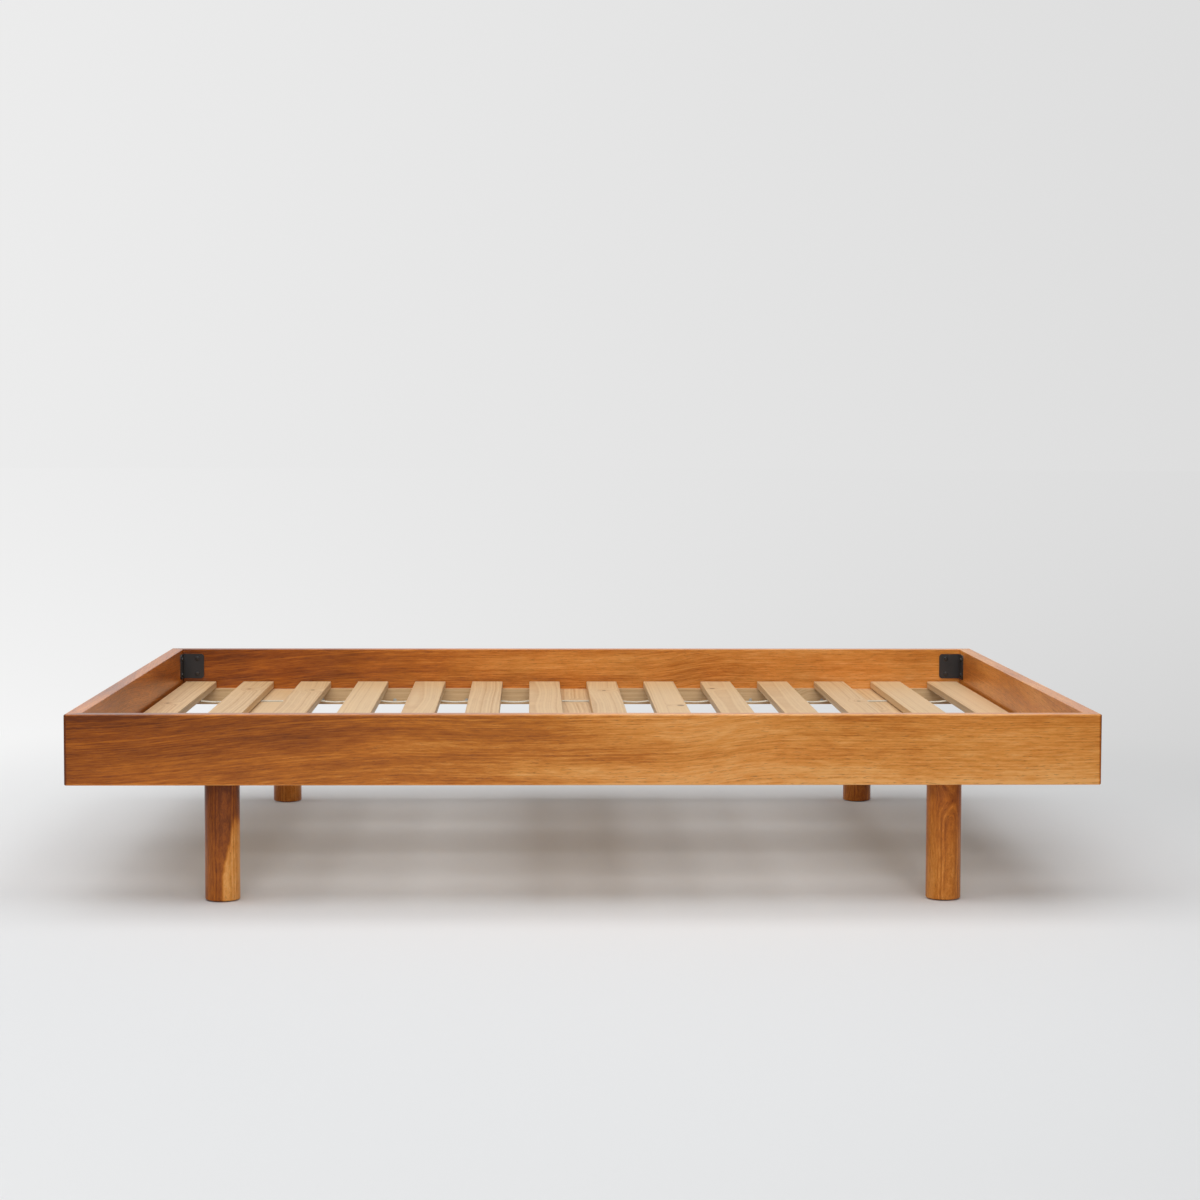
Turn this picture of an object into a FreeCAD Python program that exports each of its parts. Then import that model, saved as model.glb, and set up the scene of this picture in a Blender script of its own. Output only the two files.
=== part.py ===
import FreeCAD, Part
import math
import os

# A low platform bed frame in solid oak on four round legs, for a 2030 x 1530 mm mattress.
# Four mitred rails stand round a mattress well. Ledgers inside the rails, three cross bearers and a
# centre beam carry a loose slat base, and each end bearer stands on two legs.
# Millimetres, +Z up. The origin is on the floor below the middle of the bed. The head is towards -X,
# the foot towards +X, and "right" is the right-hand side of someone lying in it, towards -Y.

# ---- Mattress well and rails -------------------------------------------------------------------
mattress_length = 2030.0
mattress_width = 1530.0
mattress_gap = 8.0          # air between the mattress and each rail
rail_thickness = 32.0
rail_height = 145.0
floor_clearance = 248.0     # from the floor to the underside of the rails
rail_outer_round = 3.0      # radius of the rails' outer edges
rail_inner_round = 2.0      # radius of the rails' inner edges

# ---- Ledgers, bearers and centre beam ----------------------------------------------------------
underside_gap = 3.0         # the ledgers stand this far above the rails' lower edge
ledger_thickness = 22.0
ledger_height = 40.0
bearer_width = 110.0
bearer_drop = 2.0           # the bearers stay this far below the slats
beam_width = 60.0
lap_gap = 0.5               # air round a lap joint, on each side
timber_round = 1.5          # radius of the long edges of bearers and beam

# ---- Slat base ---------------------------------------------------------------------------------
slat_count = 14
slat_width = 80.0
slat_thickness = 18.0
slat_gap = 8.0              # air between the slats and the rails, at their ends and beside the outermost
slat_round = 2.5
ribbon_width = 25.0
ribbon_thickness = 1.1
ribbon_from_middle = 450.0
ribbon_end_gap = 5.0        # from a ribbon's end to the end ledger
staple_crown = 11.0
staple_wire = 0.6
staple_leg = 8.0
staple_from_slat_edge = 24.0

# ---- Legs and feet -----------------------------------------------------------------------------
leg_diameter = 72.0
leg_from_end = 277.0        # from the end rail's inner face to the leg's axis
leg_foot_round = 3.0
leg_top_chamfer = 0.5
pad_diameter = 52.0
pad_thickness = 4.0
pad_proud = 2.0             # how far a pad stands out below its leg
pad_gap = 0.2
pad_round = 0.8
plate_diameter = 54.0
plate_thickness = 4.0
plate_edge_wall = 3.0       # wood between the plate's mortise and the end of the bearer's shoulder
plate_gap = 0.3
collar_diameter = 16.0
collar_height = 14.0
leg_bolt_diameter = 10.0
leg_bolt_in_leg = 60.0
leg_bolt_above_leg = 26.0
leg_bolt_chamfer = 1.0

# ---- Corner fittings ---------------------------------------------------------------------------
bracket_leg = 55.0
bracket_thickness = 3.0
bracket_above_slats = 8.0
bracket_below_rim = 12.0    # from the rails' upper edge to the bracket's
bracket_bend_radius = 2.0
bracket_end_round = 8.0
bolt_from_bracket_end = 17.0
bolt_from_bracket_rim = 12.0  # from a bracket's upper and lower edges to its bolts
bolt_diameter = 6.0
bolt_reach = 13.0           # how far a corner bolt goes into the rail
bolt_head_diameter = 10.5
bolt_head_height = 3.2
bolt_crown_round = 1.9      # radius of the head's domed edge
bolt_socket = 4.0           # across the flats of the hexagon socket
bolt_socket_depth = 2.0
insert_diameter = 9.0
insert_length = 14.0
insert_flange_diameter = 11.5
insert_flange_thickness = 1.0
dowel_diameter = 8.0
dowel_from_inner_corner = 15.0
dowel_wall = 6.0            # wood left between a dowel hole and the rail's outer face
dowels_per_corner = 3

# ---- Wood screws -------------------------------------------------------------------------------
screw_diameter = 4.5
screw_head_diameter = 9.0
screw_end_wall = 6.0        # wood left beyond a screw's point
screw_rim_share = 0.2       # height of a head's straight rim, in shank diameters
screw_taper_share = 2.0     # length of the pointed end, in shank diameters
screw_tip_share = 0.125     # radius of the blunt tip, in shank diameters
screw_recess_width = 0.9
screw_recess_depth = 1.6
screw_pitch = 260.0         # widest spacing along a ledger
screw_from_end = 35.0
lap_screw_spacing = 60.0
beam_screw_spacing = 30.0
plate_screw_count = 4
plate_screw_circle = 38.0
plate_screw_diameter = 3.5
plate_screw_head_diameter = 6.8
plate_screw_length = 25.0

# ---- Clearances --------------------------------------------------------------------------------
hole_gap = 0.1              # radial air round a pin, bolt or screw
pocket_gap = 0.5            # air beyond the end of a pin, bolt or screw

# ---- Sizes that follow -------------------------------------------------------------------------
inner_x = mattress_length / 2 + mattress_gap
inner_y = mattress_width / 2 + mattress_gap
outer_x = inner_x + rail_thickness
outer_y = inner_y + rail_thickness
rail_bottom = floor_clearance
rail_top = rail_bottom + rail_height
ledger_bottom = rail_bottom + underside_gap
ledger_top = ledger_bottom + ledger_height
lap_level = ledger_bottom + ledger_height / 2
bearer_top = ledger_top - bearer_drop
slat_bottom = ledger_top
slat_top = slat_bottom + slat_thickness
ledger_inner_x = inner_x - ledger_thickness
ledger_inner_y = inner_y - ledger_thickness
leg_x = inner_x - leg_from_end
leg_y = ledger_inner_y - plate_edge_wall - plate_diameter / 2
leg_bottom = pad_proud
leg_top = ledger_bottom
bearer_places = {"head": -leg_x, "middle": 0.0, "foot": leg_x}
corners = {"head_right": (-1, -1), "head_left": (-1, 1), "foot_right": (1, -1), "foot_left": (1, 1)}
bracket_bottom = slat_top + bracket_above_slats
bracket_top = rail_top - bracket_below_rim
first_slat_x = -(inner_x - slat_gap - slat_width / 2)
slat_pitch = -2 * first_slat_x / (slat_count - 1)
ledger_screw_length = ledger_thickness + rail_thickness - screw_end_wall
lap_screw_length = bearer_top - ledger_bottom - screw_end_wall

X = FreeCAD.Vector(1, 0, 0)
Y = FreeCAD.Vector(0, 1, 0)
Z = FreeCAD.Vector(0, 0, 1)


def at(x, y, z):
    return FreeCAD.Vector(x, y, z)


def block(x_low, x_high, y_low, y_high, z_low, z_high):
    """A box between two corners."""
    size = (x_high - x_low, y_high - y_low, z_high - z_low)
    return Part.makeBox(*size, at(x_low, y_low, z_low))


def rod(radius, length, start, direction):
    return Part.makeCylinder(radius, length, start, direction)


def near(value, target):
    return abs(value - target) < 0.01


def edges_above(shape, x, y):
    """The shape's edges whose middle is above or below a point in the plan."""
    return [e for e in shape.Edges if near(e.CenterOfMass.x, x) and near(e.CenterOfMass.y, y)]


def circles_at(shape, level):
    """The shape's round edges at one height."""
    return [e for e in shape.Edges if e.Closed and near(e.CenterOfMass.z, level)]


def rounded_along(shape, radius, direction):
    """The shape with its straight edges that run along a direction rounded."""
    edges = []
    for edge in shape.Edges:
        run = edge.Vertexes[-1].Point - edge.Vertexes[0].Point
        if run.Length > radius and near(abs(run.normalize().dot(direction)), 1):
            edges.append(edge)
    return shape.makeFillet(radius, edges)


def wood_screw(head, direction, length, diameter=screw_diameter, head_diameter=screw_head_diameter):
    """A countersunk screw with a cross recess. Its head's flat face is centred on head."""
    cone_height = (head_diameter - diameter) / 2
    rim = diameter * screw_rim_share
    taper = diameter * screw_taper_share
    straight = length - taper
    shank = rod(diameter / 2, straight, head, direction)
    tip = diameter * screw_tip_share
    point = Part.makeCone(diameter / 2, tip, taper, head + direction * straight, direction)
    cone = Part.makeCone(head_diameter / 2, diameter / 2, cone_height, head + direction * rim, direction)
    disc = rod(head_diameter / 2, rim, head, direction)
    screw = shank.fuse([point, cone, disc])
    across = Z if abs(direction.z) < 0.5 else X
    for run in (across, direction.cross(across)):
        screw = screw.cut(recess_slot(head, direction, run, head_diameter / 2))
    return screw.removeSplitter()


def recess_slot(head, direction, run, length):
    """One slot of a cross recess, cut into a screw's head."""
    side = direction.cross(run)
    corner = head - run * (length / 2) - side * (screw_recess_width / 2)
    slot = Part.makePlane(length, screw_recess_width, corner, direction, run)
    return slot.extrude(direction * screw_recess_depth)


def screw_hole(head, direction, length, diameter=screw_diameter, head_diameter=screw_head_diameter):
    """The hole that a wood screw sits in, with air all round it."""
    cone_height = (head_diameter - diameter) / 2
    rim = diameter * screw_rim_share
    wide, narrow = head_diameter / 2 + hole_gap, diameter / 2 + hole_gap
    shank = rod(narrow, length + pocket_gap, head, direction)
    cone = Part.makeCone(wide, narrow, cone_height, head + direction * rim, direction)
    mouth = rod(wide, rim, head, direction)
    return shank.fuse([cone, mouth])


def places_between(low, high):
    """Screw places along a stretch of ledger, no further apart than screw_pitch."""
    first, last = low + screw_from_end, high - screw_from_end
    spans = max(1, math.ceil((last - first) / screw_pitch))
    return [first + (last - first) * i / spans for i in range(spans + 1)]


# ---- Rails -------------------------------------------------------------------------------------
def rail_ring():
    """The four rails as one ring, with its edges rounded, before it is cut at the mitres."""
    outside = block(-outer_x, outer_x, -outer_y, outer_y, rail_bottom, rail_top)
    outside = outside.makeFillet(rail_outer_round, outside.Edges)
    ring = outside.cut(block(-inner_x, inner_x, -inner_y, inner_y, 0, rail_top + rail_height))
    inner_edges = []
    for edge in ring.Edges:
        middle = edge.CenterOfMass
        on_side = near(abs(middle.y), inner_y) or near(abs(middle.x), inner_x)
        level = near(edge.Vertexes[0].Z, edge.Vertexes[-1].Z)
        if on_side and level:
            inner_edges.append(edge)
    return ring.makeFillet(rail_inner_round, inner_edges)


def mitre_prism(end_rail, side):
    """The space on one side of the bed that belongs to its rail, bounded by the mitre planes."""
    out, inward = rail_thickness, 2 * rail_thickness
    if end_rail:
        outline = [(outer_x + out, -outer_y - out), (outer_x + out, outer_y + out),
                   (outer_x - inward, outer_y - inward), (outer_x - inward, -outer_y + inward)]
        outline = [(side * x, y) for x, y in outline]
    else:
        outline = [(-outer_x - out, outer_y + out), (outer_x + out, outer_y + out),
                   (outer_x - inward, outer_y - inward), (-outer_x + inward, outer_y - inward)]
        outline = [(x, side * y) for x, y in outline]
    points = [at(x, y, rail_bottom - out) for x, y in outline]
    return Part.Face(Part.makePolygon(points + points[:1])).extrude(Z * (rail_height + 2 * out))


def dowel_places(corner):
    """The middle point and direction of each dowel across one mitre."""
    sx, sy = corner
    along = dowel_from_inner_corner / math.sqrt(2)
    direction = at(sx, -sy, 0).normalize()
    step = rail_height / (dowels_per_corner + 1)
    middle = [at(sx * (inner_x + along), sy * (inner_y + along), rail_bottom + step * (i + 1))
              for i in range(dowels_per_corner)]
    return [(point, direction) for point in middle]


def dowel_depth():
    """How far a dowel goes into each rail, so that dowel_wall is left in front of it."""
    return math.sqrt(2) * (rail_thickness - dowel_wall) - dowel_from_inner_corner - dowel_diameter / 2


def dowel(point, direction, gap=0.0):
    reach = dowel_depth() + (pocket_gap if gap else 0.0)
    return rod(dowel_diameter / 2 + gap, 2 * reach, point - direction * reach, direction)


def rail_cutters():
    """Everything that is bored into the rails: dowel holes, insert holes and ledger screws."""
    holes = []
    for corner in corners.values():
        holes += [dowel(*place, gap=hole_gap) for place in dowel_places(corner)]
        holes += [insert_hole(*place) for place in corner_bolt_places(corner)]
    holes += [screw_hole(*place, ledger_screw_length) for place in ledger_screw_places()]
    return holes


def rails():
    ring = rail_ring()
    holes = rail_cutters()
    made = {}
    for name, end_rail, side in (
        ("head_rail", True, -1), ("foot_rail", True, 1),
        ("right_side_rail", False, -1), ("left_side_rail", False, 1),
    ):
        made[name] = ring.common(mitre_prism(end_rail, side)).cut(holes)
    return made


# ---- Corner brackets, bolts and inserts --------------------------------------------------------
def corner_bracket(corner):
    """A bent steel angle in the inner corner, with its free ends' corners rounded."""
    sx, sy = corner
    low, high = bracket_bottom, bracket_top
    full = block(-bracket_leg, 0, -bracket_leg, 0, low, high)
    full = full.makeFillet(bracket_bend_radius + bracket_thickness, edges_above(full, 0, 0))
    inside = -bracket_thickness
    hollow = block(-2 * bracket_leg, inside, -2 * bracket_leg, inside, low, high)
    hollow = hollow.makeFillet(bracket_bend_radius, edges_above(hollow, inside, inside))
    angle = full.cut(hollow)
    free_corners = [
        e for e in angle.Edges
        if near(min(e.CenterOfMass.x, e.CenterOfMass.y), -bracket_leg) and near(e.Length, bracket_thickness)
    ]
    angle = angle.makeFillet(bracket_end_round, free_corners)
    degrees = {(1, 1): 0, (-1, 1): 90, (-1, -1): 180, (1, -1): 270}[corner]
    angle.rotate(at(0, 0, 0), Z, degrees)
    angle.translate(at(sx * inner_x, sy * inner_y, 0))
    depth = 2 * bracket_thickness
    holes = [
        rod(bolt_diameter / 2 + hole_gap, 2 * depth, face - direction * depth, direction)
        for face, direction in corner_bolt_places(corner)
    ]
    return angle.cut(holes)


def corner_bolt_places(corner):
    """Points on the rails' inner faces where the corner bolts go in, with the way they point."""
    sx, sy = corner
    off = bracket_leg - bolt_from_bracket_end
    places = []
    for level in (bracket_bottom + bolt_from_bracket_rim, bracket_top - bolt_from_bracket_rim):
        places.append((at(sx * (inner_x - off), sy * inner_y, level), Y * sy))
        places.append((at(sx * inner_x, sy * (inner_y - off), level), X * sx))
    return places


def corner_bolt(face, direction):
    """A button-head bolt through the bracket, with a hexagon socket."""
    seat = face - direction * bracket_thickness
    shank = rod(bolt_diameter / 2, bracket_thickness + bolt_reach, seat, direction)
    head = rod(bolt_head_diameter / 2, bolt_head_height, seat - direction * bolt_head_height, direction)
    crown = [e for e in head.Edges if e.Closed and near((e.CenterOfMass - seat).Length, bolt_head_height)]
    head = head.makeFillet(bolt_crown_round, crown)
    across = direction.cross(Z)
    top = seat - direction * bolt_head_height
    points = []
    for sixth in range(6):
        turn = math.radians(sixth * 360 / 6)
        points.append(top + (across * math.cos(turn) + Z * math.sin(turn)) * (bolt_socket / math.sqrt(3)))
    socket = Part.Face(Part.makePolygon(points + points[:1])).extrude(direction * bolt_socket_depth)
    return shank.fuse(head).cut(socket).removeSplitter()


def insert(face, direction):
    """A flanged threaded insert, flush with the rail's inner face."""
    sleeve = rod(insert_diameter / 2, insert_length, face, direction)
    flange = rod(insert_flange_diameter / 2, insert_flange_thickness, face, direction)
    bore = rod(bolt_diameter / 2 + hole_gap, insert_length, face, direction)
    return sleeve.fuse(flange).cut(bore).removeSplitter()


def insert_hole(face, direction):
    sleeve = rod(insert_diameter / 2 + hole_gap, insert_length + pocket_gap, face, direction)
    flange = rod(insert_flange_diameter / 2 + hole_gap, insert_flange_thickness, face, direction)
    return sleeve.fuse(flange)


# ---- Ledgers -----------------------------------------------------------------------------------
def bearer_notch_spans():
    """The stretches of X that the bearers' laps take out of the side ledgers."""
    half = bearer_width / 2 + lap_gap
    return [(x - half, x + half) for x in sorted(bearer_places.values())]


def ledger_screw_places():
    """Points on the ledgers' inner faces where their screws go in, with the way they point."""
    level = (ledger_bottom + lap_level) / 2
    cuts = [-inner_x] + [edge for span in bearer_notch_spans() for edge in span] + [inner_x]
    places = []
    for low, high in zip(cuts[0::2], cuts[1::2]):
        for x in places_between(low, high):
            places += [(at(x, side * ledger_inner_y, level), Y * side) for side in (-1, 1)]
    for low, high in ((-ledger_inner_y, -beam_width / 2), (beam_width / 2, ledger_inner_y)):
        for y in places_between(low, high):
            places += [(at(side * ledger_inner_x, y, level), X * side) for side in (-1, 1)]
    return places


def side_ledger(side):
    y_low, y_high = sorted((side * inner_y, side * ledger_inner_y))
    bar = block(-inner_x, inner_x, y_low, y_high, ledger_bottom, ledger_top)
    notches = [block(low, high, y_low, y_high, lap_level, ledger_top) for low, high in bearer_notch_spans()]
    return bar.cut(notches)


def end_ledger(side):
    """A ledger along the head or foot rail, fitted between the two side ledgers."""
    x_low, x_high = sorted((side * inner_x, side * ledger_inner_x))
    bar = block(x_low, x_high, -ledger_inner_y, ledger_inner_y, ledger_bottom, ledger_top)
    half = beam_width / 2 + lap_gap
    return bar.cut(block(x_low, x_high, -half, half, lap_level, ledger_top))


def ledgers():
    holes = [screw_hole(*place, ledger_screw_length) for place in ledger_screw_places()]
    holes += [screw_hole(*place, lap_screw_length) for place in ledger_lap_screw_places()]
    made = {
        "right_ledger": side_ledger(-1), "left_ledger": side_ledger(1),
        "head_ledger": end_ledger(-1), "foot_ledger": end_ledger(1),
    }
    return {name: bar.cut(holes) for name, bar in made.items()}


# ---- Bearers and centre beam -------------------------------------------------------------------
def bearer(name):
    """A cross bearer: its ends lap over the side ledgers, and the centre beam laps into its top."""
    x = bearer_places[name]
    half = bearer_width / 2
    end = inner_y - lap_gap
    bar = block(x - half, x + half, -end, end, ledger_bottom, bearer_top)
    bar = rounded_along(bar, timber_round, Y)
    shoulder = ledger_inner_y - lap_gap
    under_laps = [
        block(x - bearer_width, x + bearer_width, *sorted((side * shoulder, side * outer_y)), 0, lap_level)
        for side in (-1, 1)
    ]
    half_beam = beam_width / 2 + lap_gap
    beam_notch = block(x - bearer_width, x + bearer_width, -half_beam, half_beam, lap_level, ledger_top)
    bar = bar.cut(under_laps + [beam_notch])
    holes = [screw_hole(*place, lap_screw_length) for place in bearer_lap_screw_places(x)]
    if name != "middle":
        holes += [leg_fitting_pocket(x, side * leg_y) for side in (-1, 1)]
        holes += [
            screw_hole(*place, plate_screw_length, plate_screw_diameter, plate_screw_head_diameter)
            for side in (-1, 1) for place in plate_screw_places(x, side * leg_y)
        ]
    return bar.cut(holes)


def centre_beam():
    """The lengthways beam: it laps over the three bearers and over the two end ledgers."""
    end = inner_x - lap_gap
    half = beam_width / 2
    bar = block(-end, end, -half, half, ledger_bottom, ledger_top)
    bar = rounded_along(bar, timber_round, X)
    cutters = [
        block(low, high, -beam_width, beam_width, 0, lap_level)
        for low, high in bearer_notch_spans()
    ]
    shoulder = ledger_inner_x - lap_gap
    cutters += [block(*sorted((side * shoulder, side * outer_x)), -beam_width, beam_width, 0, lap_level)
                for side in (-1, 1)]
    cutters += [screw_hole(*place, lap_screw_length) for place in beam_screw_places()]
    return bar.cut(cutters)


def ledger_lap_screw_places():
    """Screws that go down through a lap into a ledger: two at each bearer end, two at each beam end."""
    places = []
    for x in bearer_places.values():
        places += bearer_end_screw_places(x)
    return places + beam_end_screw_places()


def bearer_end_screw_places(x):
    lap_middle = inner_y - ledger_thickness / 2
    return [(at(x + dx, side * lap_middle, bearer_top), -Z)
            for side in (-1, 1) for dx in (-lap_screw_spacing / 2, lap_screw_spacing / 2)]


def beam_end_screw_places():
    lap_middle = inner_x - ledger_thickness / 2
    return [(at(side * lap_middle, dy, bearer_top), -Z)
            for side in (-1, 1) for dy in (-beam_screw_spacing / 2, beam_screw_spacing / 2)]


def crossing_screw_places(x):
    """Screws where the centre beam crosses a bearer, sunk to the bearers' level."""
    return [(at(x + dx, 0, bearer_top), -Z) for dx in (-lap_screw_spacing / 2, lap_screw_spacing / 2)]


def bearer_lap_screw_places(x):
    return bearer_end_screw_places(x) + crossing_screw_places(x)


def beam_screw_places():
    places = beam_end_screw_places()
    for x in bearer_places.values():
        places += crossing_screw_places(x)
    return places


def beam_counterbores():
    """The short wells above the centre beam's screws, from its top face down to their heads."""
    radius = screw_head_diameter / 2 + hole_gap
    return [rod(radius, bearer_drop, head, Z) for head, _ in beam_screw_places()]


# ---- Legs --------------------------------------------------------------------------------------
def leg_fitting_pocket(x, y):
    """The hole in a bearer's underside for the leg plate, its collar and the bolt's end."""
    base = at(x, y, leg_top)
    mortise = rod(plate_diameter / 2 + plate_gap, plate_thickness, base, Z)
    collar = rod(collar_diameter / 2 + plate_gap, plate_thickness + collar_height + pocket_gap, base, Z)
    bolt_end = rod(leg_bolt_diameter / 2 + plate_gap, leg_bolt_above_leg + pocket_gap, base, Z)
    return mortise.fuse([collar, bolt_end])


def plate_screw_places(x, y):
    radius = plate_screw_circle / 2
    places = []
    for i in range(plate_screw_count):
        turn = math.radians((i + 0.5) * 360 / plate_screw_count)
        places.append((at(x + radius * math.cos(turn), y + radius * math.sin(turn), leg_top), Z))
    return places


def leg(x, y):
    """A round leg with a softened foot, a bore for its bolt and a seat for its pad."""
    radius = leg_diameter / 2
    post = rod(radius, leg_top - leg_bottom, at(x, y, leg_bottom), Z)
    post = post.makeFillet(leg_foot_round, circles_at(post, leg_bottom))
    post = post.makeChamfer(leg_top_chamfer, circles_at(post, leg_top))
    bore_depth = leg_bolt_in_leg + pocket_gap
    bore = rod(leg_bolt_diameter / 2 + hole_gap, bore_depth, at(x, y, leg_top - bore_depth), Z)
    seat = rod(pad_diameter / 2 + pad_gap, pad_thickness - pad_proud, at(x, y, leg_bottom), Z)
    return post.cut([bore, seat])


def leg_plate(x, y):
    """A round steel plate let into the bearer, with a threaded collar for the leg's bolt."""
    disc = rod(plate_diameter / 2, plate_thickness, at(x, y, leg_top), Z)
    collar = rod(collar_diameter / 2, plate_thickness + collar_height, at(x, y, leg_top), Z)
    bore = rod(leg_bolt_diameter / 2 + hole_gap, plate_thickness + collar_height, at(x, y, leg_top), Z)
    holes = [
        screw_hole(*place, plate_screw_length, plate_screw_diameter, plate_screw_head_diameter)
        for place in plate_screw_places(x, y)
    ]
    return disc.fuse(collar).cut([bore] + holes).removeSplitter()


def leg_bolt(x, y):
    """The double-ended bolt that is fixed in the leg and screws into the plate."""
    length = leg_bolt_in_leg + leg_bolt_above_leg
    bolt = rod(leg_bolt_diameter / 2, length, at(x, y, leg_top - leg_bolt_in_leg), Z)
    return bolt.makeChamfer(leg_bolt_chamfer, [e for e in bolt.Edges if e.Closed])


def foot_pad(x, y):
    pad = rod(pad_diameter / 2, pad_thickness, at(x, y, 0), Z)
    return pad.makeFillet(pad_round, circles_at(pad, 0))


# ---- Slat base ---------------------------------------------------------------------------------
def slat_x(index):
    return first_slat_x + slat_pitch * index


def slat(index):
    x = slat_x(index)
    end = inner_y - slat_gap
    bar = block(x - slat_width / 2, x + slat_width / 2, -end, end, slat_bottom, slat_top)
    bar = rounded_along(bar, slat_round, Y)
    return bar.cut([leg for place in staple_places(index) for leg in staple_legs(*place, gap=hole_gap)])


def ribbon(side):
    """A flat textile ribbon along the underside of the slats, which holds them at their spacing."""
    y = side * ribbon_from_middle
    end = ledger_inner_x - ribbon_end_gap
    half = ribbon_width / 2
    strip = block(-end, end, y - half, y + half, slat_bottom - ribbon_thickness, slat_bottom)
    slits = []
    for index in range(slat_count):
        for place in staple_places(index):
            slits += staple_legs(*place, gap=hole_gap)
    return strip.cut(slits)


def staple_places(index):
    """Where a slat's four staples go: two through each ribbon."""
    offset = slat_width / 2 - staple_from_slat_edge
    return [(slat_x(index) + dx, side * ribbon_from_middle) for dx in (-offset, offset) for side in (-1, 1)]


def staple_legs(x, y, gap=0.0):
    """A staple's two legs, or with a gap the slits that they sit in."""
    low = slat_bottom - ribbon_thickness - staple_wire
    high = slat_bottom - ribbon_thickness + staple_leg
    half_wire = staple_wire / 2
    made = []
    for side in (-1, 1):
        middle = y + side * (staple_crown / 2 - half_wire)
        made.append(block(
            x - staple_wire - gap, x + staple_wire + gap,
            middle - half_wire - gap, middle + half_wire + gap, low, high + gap
        ))
    return made


def staple(x, y):
    """A flat-wire staple driven up through a ribbon into a slat, its crown along Y."""
    low = slat_bottom - ribbon_thickness - staple_wire
    half = staple_crown / 2
    crown = block(x - staple_wire, x + staple_wire, y - half, y + half, low, low + staple_wire)
    return crown.fuse(staple_legs(x, y)).removeSplitter()


# ---- All sub-parts -----------------------------------------------------------------------------
def build():
    """Every sub-part by its name."""
    made = rails()
    made.update(ledgers())
    for name in bearer_places:
        made[name + "_bearer"] = bearer(name)
    made["centre_beam"] = centre_beam().cut(beam_counterbores())
    bolt_places = []
    for name, (sx, sy) in corners.items():
        made["corner_bracket_" + name] = corner_bracket((sx, sy))
        made["leg_" + name] = leg(sx * leg_x, sy * leg_y)
        made["leg_plate_" + name] = leg_plate(sx * leg_x, sy * leg_y)
        made["leg_bolt_" + name] = leg_bolt(sx * leg_x, sy * leg_y)
        made["foot_pad_" + name] = foot_pad(sx * leg_x, sy * leg_y)
        bolt_places += corner_bolt_places((sx, sy))
    made["corner_bolts"] = [corner_bolt(*place) for place in bolt_places]
    made["corner_inserts"] = [insert(*place) for place in bolt_places]
    made["mitre_dowels"] = [dowel(*place) for corner in corners.values() for place in dowel_places(corner)]
    made["ledger_screws"] = [wood_screw(*place, ledger_screw_length) for place in ledger_screw_places()]
    lap_places = ledger_lap_screw_places()
    for x in bearer_places.values():
        lap_places += crossing_screw_places(x)
    made["lap_screws"] = [wood_screw(*place, lap_screw_length) for place in lap_places]
    made["leg_plate_screws"] = [
        wood_screw(*place, plate_screw_length, plate_screw_diameter, plate_screw_head_diameter)
        for sx, sy in corners.values() for place in plate_screw_places(sx * leg_x, sy * leg_y)
    ]
    for index in range(slat_count):
        made[f"slat_{index + 1:02d}"] = slat(index)
    made["slat_ribbon_right"] = ribbon(-1)
    made["slat_ribbon_left"] = ribbon(1)
    made["ribbon_staples"] = [
        staple(*place) for index in range(slat_count) for place in staple_places(index)
    ]
    return made


def export(made):
    os.makedirs("parts", exist_ok=True)
    for name, shape in made.items():
        if isinstance(shape, list):
            shape = Part.makeCompound(shape)
        shape.exportStep(os.path.join("parts", name + ".step"))
        print(f"{name}: {len(shape.Solids)} solid(s), {shape.Volume / 1000:.1f} cm3, {shape.isValid()}")


export(build())
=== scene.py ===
import math

import bpy
from bpy.props import FloatProperty, FloatVectorProperty, PointerProperty
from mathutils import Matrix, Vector


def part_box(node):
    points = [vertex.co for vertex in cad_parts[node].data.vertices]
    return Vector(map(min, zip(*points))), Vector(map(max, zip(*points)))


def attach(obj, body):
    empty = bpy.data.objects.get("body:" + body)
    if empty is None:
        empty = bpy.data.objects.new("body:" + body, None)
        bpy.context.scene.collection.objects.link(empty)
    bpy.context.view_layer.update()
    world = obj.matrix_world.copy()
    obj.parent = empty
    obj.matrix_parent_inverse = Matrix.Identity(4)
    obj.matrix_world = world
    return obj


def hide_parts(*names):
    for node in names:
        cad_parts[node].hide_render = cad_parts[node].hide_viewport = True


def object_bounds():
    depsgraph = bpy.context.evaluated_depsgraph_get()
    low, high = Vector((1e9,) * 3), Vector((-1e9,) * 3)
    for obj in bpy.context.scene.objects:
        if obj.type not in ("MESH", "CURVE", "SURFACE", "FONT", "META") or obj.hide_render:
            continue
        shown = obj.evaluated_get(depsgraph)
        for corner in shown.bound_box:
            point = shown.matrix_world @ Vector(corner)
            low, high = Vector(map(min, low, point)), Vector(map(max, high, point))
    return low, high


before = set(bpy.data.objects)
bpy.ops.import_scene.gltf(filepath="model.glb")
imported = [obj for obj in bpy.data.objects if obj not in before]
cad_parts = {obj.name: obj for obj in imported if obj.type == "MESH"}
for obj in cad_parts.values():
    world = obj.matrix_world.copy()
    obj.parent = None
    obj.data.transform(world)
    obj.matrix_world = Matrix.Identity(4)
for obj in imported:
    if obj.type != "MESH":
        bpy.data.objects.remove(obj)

bl_info = {
    "name": "Oak Platform Bed",
    "version": (1, 0, 0),
    "blender": (4, 5, 0),
    "location": "3D View > Sidebar > Bed",
    "description": "Finishes a low oak bed frame: oiled oak, pine slats, cotton ribbons, steel",
    "category": "Object",
}

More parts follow.
